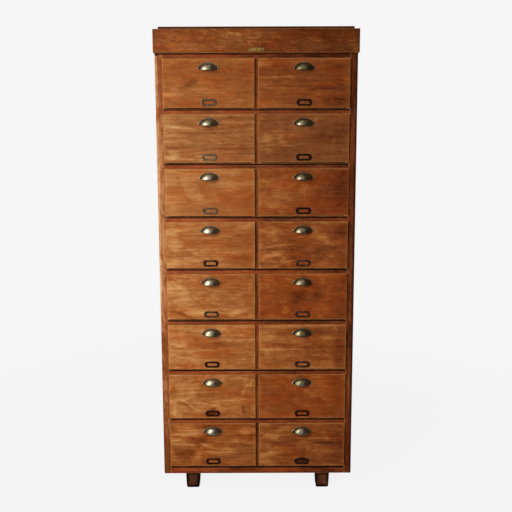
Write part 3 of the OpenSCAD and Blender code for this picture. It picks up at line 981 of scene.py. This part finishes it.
def pullShell():
    wall = pullShape["wall"]
    outer = domeRings(pullShape["half"], pullShape["radius"])
    inner = domeRings(pullShape["half"] - wall, pullShape["radius"] - wall)
    loops = []
    for out, into in zip(outer, inner):
        lip = (out[0] + into[0]) / 2 - Vector((0.0, 0.0, pullShape["lipRound"]))
        loops.append([lip] + out + into[::-1])
    shape = bmesh.new()
    skin(shape, loops)
    bmesh.ops.remove_doubles(shape, verts=shape.verts, dist=0.02 * mm)
    bmesh.ops.recalc_face_normals(shape, faces=shape.faces)
    return shape


def pullFlange():
    trace = [ring[-1] for ring in domeRings(pullShape["half"], pullShape["radius"])]
    half, high, thick, bead = (pullShape[key] for key in ("flangeHalf", "flangeTop", "flangeThick", "bead"))
    steps = [(0.0, thick), (0.62, thick), (0.72, thick + bead), (0.9, thick + bead), (1.0, thick * 0.5),
             (1.0, 0.0), (0.0, 0.0)]  # share of the way from the dome to the rim, height
    arc = arcRadius(half, high - pullShape["earUp"])
    reach = math.asin(half / arc)
    rings = []
    for i, near in enumerate(trace):
        turn = reach * (2 * i / (len(trace) - 1) - 1)
        far = Vector((arc * math.sin(turn), 0.0, high - arc + arc * math.cos(turn)))
        near = near * 0.96  # a little under the dome
        ring = []
        for share, lift in steps:
            spot = near.lerp(far, share)
            ring.append(Vector((spot.x, -lift, max(spot.z, 0.0))))
        rings.append(ring)
    return cappedSkin(rings)


def roundHead(radius, high, slot, segments=18):  # a head that stands out towards the front
    profile = [(1.0, 0.0), (0.98, 0.3), (0.88, 0.62), (0.66, 0.86), (0.36, 0.97)]
    turns = [2 * math.pi * j / segments for j in range(segments)]
    shape = cappedSkin([[Vector((radius * r * math.cos(t), -high * h, radius * r * math.sin(t)))
                         for t in turns] for r, h in profile])
    if slot:
        cut = boxShape((-radius * 1.2, -high * 1.2, -slot / 2), (radius * 1.2, -high * 0.45, slot / 2), 0.0)
        shape = carve(shape, [cut])
    return shape


def placed(template, spot, turn=0.0):  # a copy of a template at a spot, turned about its axis to the front
    shape = template.copy()
    sine, cosine = math.sin(turn), math.cos(turn)
    for vert in shape.verts:
        x, y, z = vert.co
        vert.co = Vector((x * cosine - z * sine, y, x * sine + z * cosine)) + spot
    return shape


def rectLoop(halfX, halfZ, radius, y, perCorner):
    loop = []
    for signX, signZ, start in ((1, 1, 0.0), (-1, 1, 0.5), (-1, -1, 1.0), (1, -1, 1.5)):
        for j in range(perCorner):
            turn = (start + 0.5 * j / (perCorner - 1)) * math.pi
            x = signX * (halfX - radius) + radius * math.cos(turn)
            z = signZ * (halfZ - radius) + radius * math.sin(turn)
            loop.append(Vector((x, y, z)))
    return loop


labelShape = {
    "half": (32 * mm, 14 * mm),
    "corner": 8 * mm,
    "thick": 2.2 * mm,
    "window": (20.5 * mm, 6.0 * mm),
    "windowCorner": 1.2 * mm,
    "pocket": (24.1 * mm, 1.1 * mm, 10 * mm),  # half width, depth, reach below the middle
    "pocketOver": 2 * mm,       # how far its cutter passes the back and the top
    "pinAcross": 28.05 * mm,
    "pinRadius": 1.7 * mm,
    "pinHigh": 0.9 * mm,
    "tones": {  # from the top row down
        "left": (-0.1, -0.9, -0.2, 0.4, 0.1, 0.8, 0.6, 0.7),
        "right": (0.5, 1.0, 0.9, 0.0, 0.2, 0.4, 0.7, 0.7),
    },
}


def labelFrame():
    halfX, halfZ = labelShape["half"]
    windowX, windowZ = labelShape["window"]
    corner, thick, inner = labelShape["corner"], labelShape["thick"], labelShape["windowCorner"]
    outside = [(0.0, 0.0), (0.0, 0.62), (0.35, 0.9), (1.1, 1.0), (2.6, 1.0)]  # mm in, share of the thickness
    inside = [(2.2, 1.0), (0.9, 0.97), (0.2, 0.84), (0.0, 0.6), (0.0, 0.0)]   # mm out from the window
    rings = [rectLoop(halfX - step * mm, halfZ - step * mm, corner - step * mm * 0.6, -share * thick, 2)
             for step, share in outside]
    rings += [rectLoop(windowX + step * mm, windowZ + step * mm, inner + step * mm, -share * thick, 2)
              for step, share in inside]
    shape = bmesh.new()
    made = skin(shape, rings)
    count = len(rings[0])
    for j in range(count):
        k = (j + 1) % count
        shape.faces.new((made[-1][j], made[-1][k], made[0][k], made[0][j]))
    bmesh.ops.recalc_face_normals(shape, faces=shape.faces)
    across, deep, below = labelShape["pocket"]
    over = labelShape["pocketOver"]
    return carve(shape, [boxShape((-across, -deep, -below), (across, over, halfZ + over), 0.0)])


plateShape = {
    "half": (32.5 * mm, 7.25 * mm),
    "corner": 2 * mm,
    "thick": 1.2 * mm,
    "pinAcross": 28.875 * mm,
    "seed": 7,
}


def plateBlank():  # a bare plate with a sunk line inside its edge
    halfX, halfZ = plateShape["half"]
    corner, thick = plateShape["corner"], plateShape["thick"]
    steps = [(0.0, 0.0), (0.0, 0.75), (0.3, 1.0), (1.1, 1.0), (1.3, 0.75), (1.7, 0.75), (1.9, 0.95)]
    return cappedSkin([rectLoop(halfX - step * mm, halfZ - step * mm, max(corner - step * mm, 0.1 * mm),
                                -share * thick, 7) for step, share in steps])


shell, flange, frameBlank = pullShell(), pullFlange(), labelFrame()
screwHead = roundHead(pullShape["headRadius"], pullShape["headHigh"], pullShape["headSlot"])
pinHead = roundHead(labelShape["pinRadius"], labelShape["pinHigh"], 0.0, 12)


def makePull(node, body, faceY, draw):
    low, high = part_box(node)
    middle = Vector(((low.x + high.x) / 2, faceY, high.z - pullShape["topAbove"]))
    thick = pullShape["flangeThick"] + pullShape["bead"] * 0.4
    arc = arcRadius(pullShape["flangeHalf"], pullShape["flangeTop"] - pullShape["earUp"])
    # the column's tone paints the right column's pulls in shade
    tone = draw.uniform(-1, 1) * 0.5 + pullShape["tones"][node.split("_")[0]]

    def seam(point):  # dirt and painted shade where the dome meets the flange, and painted shadow under its lip
        flangeDirtAndShade = 1.0 + (point.y - faceY + thick) / pullShape["seamDirtAndShade"]
        lipShadow = 0.75 - (point.z - middle.z) / pullShape["lipShadow"]
        return min(1.0, max(0.0, flangeDirtAndShade, lipShadow))

    def rim(point):  # the flange is clean along its outer edge only
        inside = arc - math.hypot(point.x - middle.x, point.z - middle.z - pullShape["flangeTop"] + arc)
        return min(0.85, max(0.15, inside / pullShape["rimClean"]))

    stack = Stack()
    stack.addMetal(placed(shell, middle), middle, draw, tone, seam)
    stack.addMetal(placed(flange, middle), middle, draw, tone, rim)
    for side in (-1, 1):
        spot = middle + Vector((side * pullShape["screwAcross"], -thick, pullShape["screwUp"]))
        stack.addMetal(placed(screwHead, spot, draw.uniform(0, math.pi)), middle, draw, 1.0)
    stack.piece(node + "_fitting", pullBrass, body, node, smooth=True)


def makeLabelHolder(node, body, faceY, draw):
    low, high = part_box(node)
    middle = Vector(((low.x + high.x) / 2, faceY, (low.z + high.z) / 2))
    thick = labelShape["thick"]
    column, row = node.split("_")[0], int(node.split("_")[-1])
    tone = labelShape["tones"][column][row - 1]

    def edges(point):  # dirt down the sides
        return min(0.9, max(0.0, (point.y - faceY) / thick + 1.0) * 6.0)

    stack = Stack()
    stack.addMetal(placed(frameBlank, middle), middle, draw, tone, edges)
    for side in (-1, 1):
        spot = middle + Vector((side * labelShape["pinAcross"], -thick, 0.0))
        stack.addMetal(placed(pinHead, spot), middle, draw, tone)
    stack.piece(node + "_fitting", labelBronze, body, node, smooth=True)


def makeDrawers():
    draw = random.Random(drawerShape["seed"])
    for column in columns:
        for row in rows:
            node = f"{column}_drawer_{row}"
            body = node + "_body"
            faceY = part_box(node)[0].y
            makeDrawer(node, body, draw)
            makePull(f"{column}_cup_pull_{row}", body, faceY, draw)
            makeLabelHolder(f"{column}_label_holder_{row}", body, faceY, draw)


def makePlate():
    draw = random.Random(plateShape["seed"])
    low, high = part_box("name_plate")
    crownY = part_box("crown_box")[0].y
    middle = Vector(((low.x + high.x) / 2, crownY, (low.z + high.z) / 2))
    stack = Stack()
    stack.addMetal(placed(plateBlank(), middle), middle, draw)
    for side in (-1, 1):
        spot = middle + Vector((side * plateShape["pinAcross"], -plateShape["thick"], 0.0))
        stack.addMetal(placed(pinHead, spot), middle, draw, 0.5)
    stack.piece("name_plate_fitting", plateBrass, cabinet, "name_plate", smooth=True)


footShape = {
    "lean": 3 * mm,         # narrower at the sole, on each side
    "round": 8 * mm,
    "ease": 1.5 * mm,
    "arcSteps": 6,
    "toneSpread": 0.4,
    "seed": 21,
}


def makeFeet():
    draw = random.Random(footShape["seed"])
    r, steps, spread = footShape["round"], footShape["arcSteps"], footShape["toneSpread"]
    turns = [math.pi / 2 * j / steps for j in range(steps + 1)]
    stack = Stack()
    for low, high in looseParts("block_feet"):
        middle = (low.x + high.x) / 2
        top = (high.x - low.x) / 2
        sole = top - footShape["lean"]
        right = [(sole - r + r * math.sin(turn), r - r * math.cos(turn)) for turn in turns]
        right.append((top, high.z))
        outline = [(middle + x, z) for x, z in right] + [(middle - x, z) for x, z in reversed(right)]
        shape = outlineShape(outline, 1, low.y, high.y, footShape["ease"])
        stack.addWood(shape, 2, draw, draw.uniform(-1, 1) * spread)
    stack.piece("block_feet_boards", footWood, cabinet, "block_feet")


makeDrawers()
makePlate()
makeFeet()
print("drawers, fittings and feet made")


# Camera, light and floor

cameraSetup = {
    "across": -3.8 * mm,
    "distance": 3.1955,         # from the face of the frame
    "height": 1.5927,
    "pitch": 9.517,             # degrees down
    "roll": -0.185,             # degrees, held a little aslant
    "lens": 53.635,
    "sensor": 36.0,
}


def makeCamera():
    data = bpy.data.cameras.new("camera")
    data.lens = cameraSetup["lens"]
    data.sensor_width = cameraSetup["sensor"]
    camera = bpy.data.objects.new("camera", data)
    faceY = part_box("face_frame")[0].y
    spot = Vector((cameraSetup["across"], faceY - cameraSetup["distance"], cameraSetup["height"]))
    tilt = Matrix.Rotation(math.radians(90 - cameraSetup["pitch"]), 4, "X")
    roll = Matrix.Rotation(math.radians(cameraSetup["roll"]), 4, "Z")
    camera.matrix_world = Matrix.Translation(spot) @ tilt @ roll
    bpy.context.scene.collection.objects.link(camera)
    bpy.context.scene.camera = camera


lampSetup = {
    "key": {
        "place": (-2.6, -2.9, 2.2), "aim": (-0.4, 0.0, 0.9), "size": (2.8, 2.8), "power": 74.0, "spread": 100,
    },
    "fill": {
        "place": (-0.9, -3.3, 0.8), "aim": (0.0, 0.0, 0.5), "size": (1.6, 1.6), "power": 14.0, "spread": 110,
    },
    "back": {
        "place": (1.5, 2.6, 2.4), "aim": (0.0, 0.0, 1.0), "size": (2.0, 2.0), "power": 30.0, "spread": 180,
    },
    "side": {
        "place": (2.7, 0.9, 1.7), "aim": (0.4, 0.1, 1.0), "size": (1.6, 1.6), "power": 15.0, "spread": 140,
    },
    "window": {  # seen only in the metal
        "place": (-1.12, -0.98, 1.6), "aim": (0.0, -0.22, 1.6), "size": (0.8, 1.9), "power": 26.0,
        "spread": 180,
    },
}
roomSetup = {
    "paper": paint(246, 246, 247),
    "light": 0.05,              # what the room gives to matt surfaces
    "shineLow": 0.02,           # what the metal sees of it
    "shineHigh": 0.43,
    "shineRight": (-0.05, 0.45),    # where it fades out towards the right
    "shineUp": (0.0, 0.6),      # where it grows upwards, from its level by its gain
    "shineLevel": 0.45,
    "shineGain": 0.75,
    "floorInMetal": 0.2,
    "floorRadius": 3.2,
    "floorFade": (1.2, 3.0),    # the floor thins out into the backdrop
    "floorGrey": paint(120, 118, 116),
    "floorPale": paint(240, 240, 242),
    "floorGlow": 0.94,
}


def makeLamp(name):
    setup = lampSetup[name]
    data = bpy.data.lights.new(name, "AREA")
    data.shape = "RECTANGLE"
    data.size, data.size_y = setup["size"]
    data.energy = setup["power"]
    data.spread = math.radians(setup["spread"])
    lamp = bpy.data.objects.new(name, data)
    lamp.visible_camera = False
    lamp.visible_glossy = name == "window"
    lamp.visible_diffuse = name != "window"
    lamp.location = setup["place"]
    way = Vector(setup["aim"]) - Vector(setup["place"])
    lamp.rotation_euler = way.to_track_quat("-Z", "Y").to_euler()
    bpy.context.scene.collection.objects.link(lamp)


def makeWorld():
    world = bpy.data.worlds.new("studio")
    bpy.context.scene.world = world
    world.use_nodes = True
    sheet = Sheet(world.node_tree)
    camera, glossy, clear = sheet.rays()
    right, away, up = sheet.parts(sheet.node("ShaderNodeTexCoord", {}, {}, "Generated"))
    glow = roomSetup["shineLevel"] + sheet.rise(up, *roomSetup["shineUp"]) * roomSetup["shineGain"]
    glow = (1.0 - sheet.rise(right, *roomSetup["shineRight"])) * glow
    shine = roomSetup["shineLow"] + glow * roomSetup["shineHigh"]
    strength = roomSetup["light"] + (shine - roomSetup["light"]) * glossy
    strength = strength + (1.0 - strength) * sheet.maths("MAXIMUM", camera, clear)
    back = sheet.node("ShaderNodeBackground", {}, {"Color": roomSetup["paper"], "Strength": strength})
    sheet.node("ShaderNodeOutputWorld", {}, {"Surface": back})


def floorFinish():
    material, sheet = newFinish("floorPaper")
    camera, glossy, clear = sheet.rays()
    seen = sheet.maths("MAXIMUM", camera, clear)
    seen = sheet.maths("MAXIMUM", seen, glossy * roomSetup["floorInMetal"])
    place = sheet.node("ShaderNodeTexCoord", {}, {}, "Object")
    fade = sheet.rise(sheet.vector("LENGTH", place, out="Value"), *roomSetup["floorFade"])
    paper = sheet.mix(seen, roomSetup["floorGrey"], roomSetup["floorPale"])  # throws little light back
    matt = sheet.node("ShaderNodeBsdfDiffuse", {}, {"Color": paper})
    glow = sheet.node("ShaderNodeEmission", {}, {"Color": roomSetup["paper"], "Strength": 1.0})
    nothing = sheet.node("ShaderNodeBsdfTransparent", {}, {})
    shown = sheet.node("ShaderNodeMixShader", {}, {0: seen * roomSetup["floorGlow"], 1: matt, 2: glow})
    faded = sheet.node("ShaderNodeMixShader", {}, {0: fade, 1: shown, 2: nothing})
    sheet.node("ShaderNodeOutputMaterial", {}, {"Surface": faded})
    return material


def makeFloor():
    shape = bmesh.new()
    bmesh.ops.create_circle(shape, cap_ends=True, segments=64, radius=roomSetup["floorRadius"])
    mesh = bpy.data.meshes.new("floor")
    shape.to_mesh(mesh)
    shape.free()
    mesh.materials.append(floorFinish())
    floor = bpy.data.objects.new("floor", mesh)
    bpy.context.scene.collection.objects.link(floor)


makeCamera()
for lampName in lampSetup:
    makeLamp(lampName)
makeWorld()
makeFloor()
bpy.context.scene.view_settings.view_transform = "Standard"
print("camera, light and floor made")
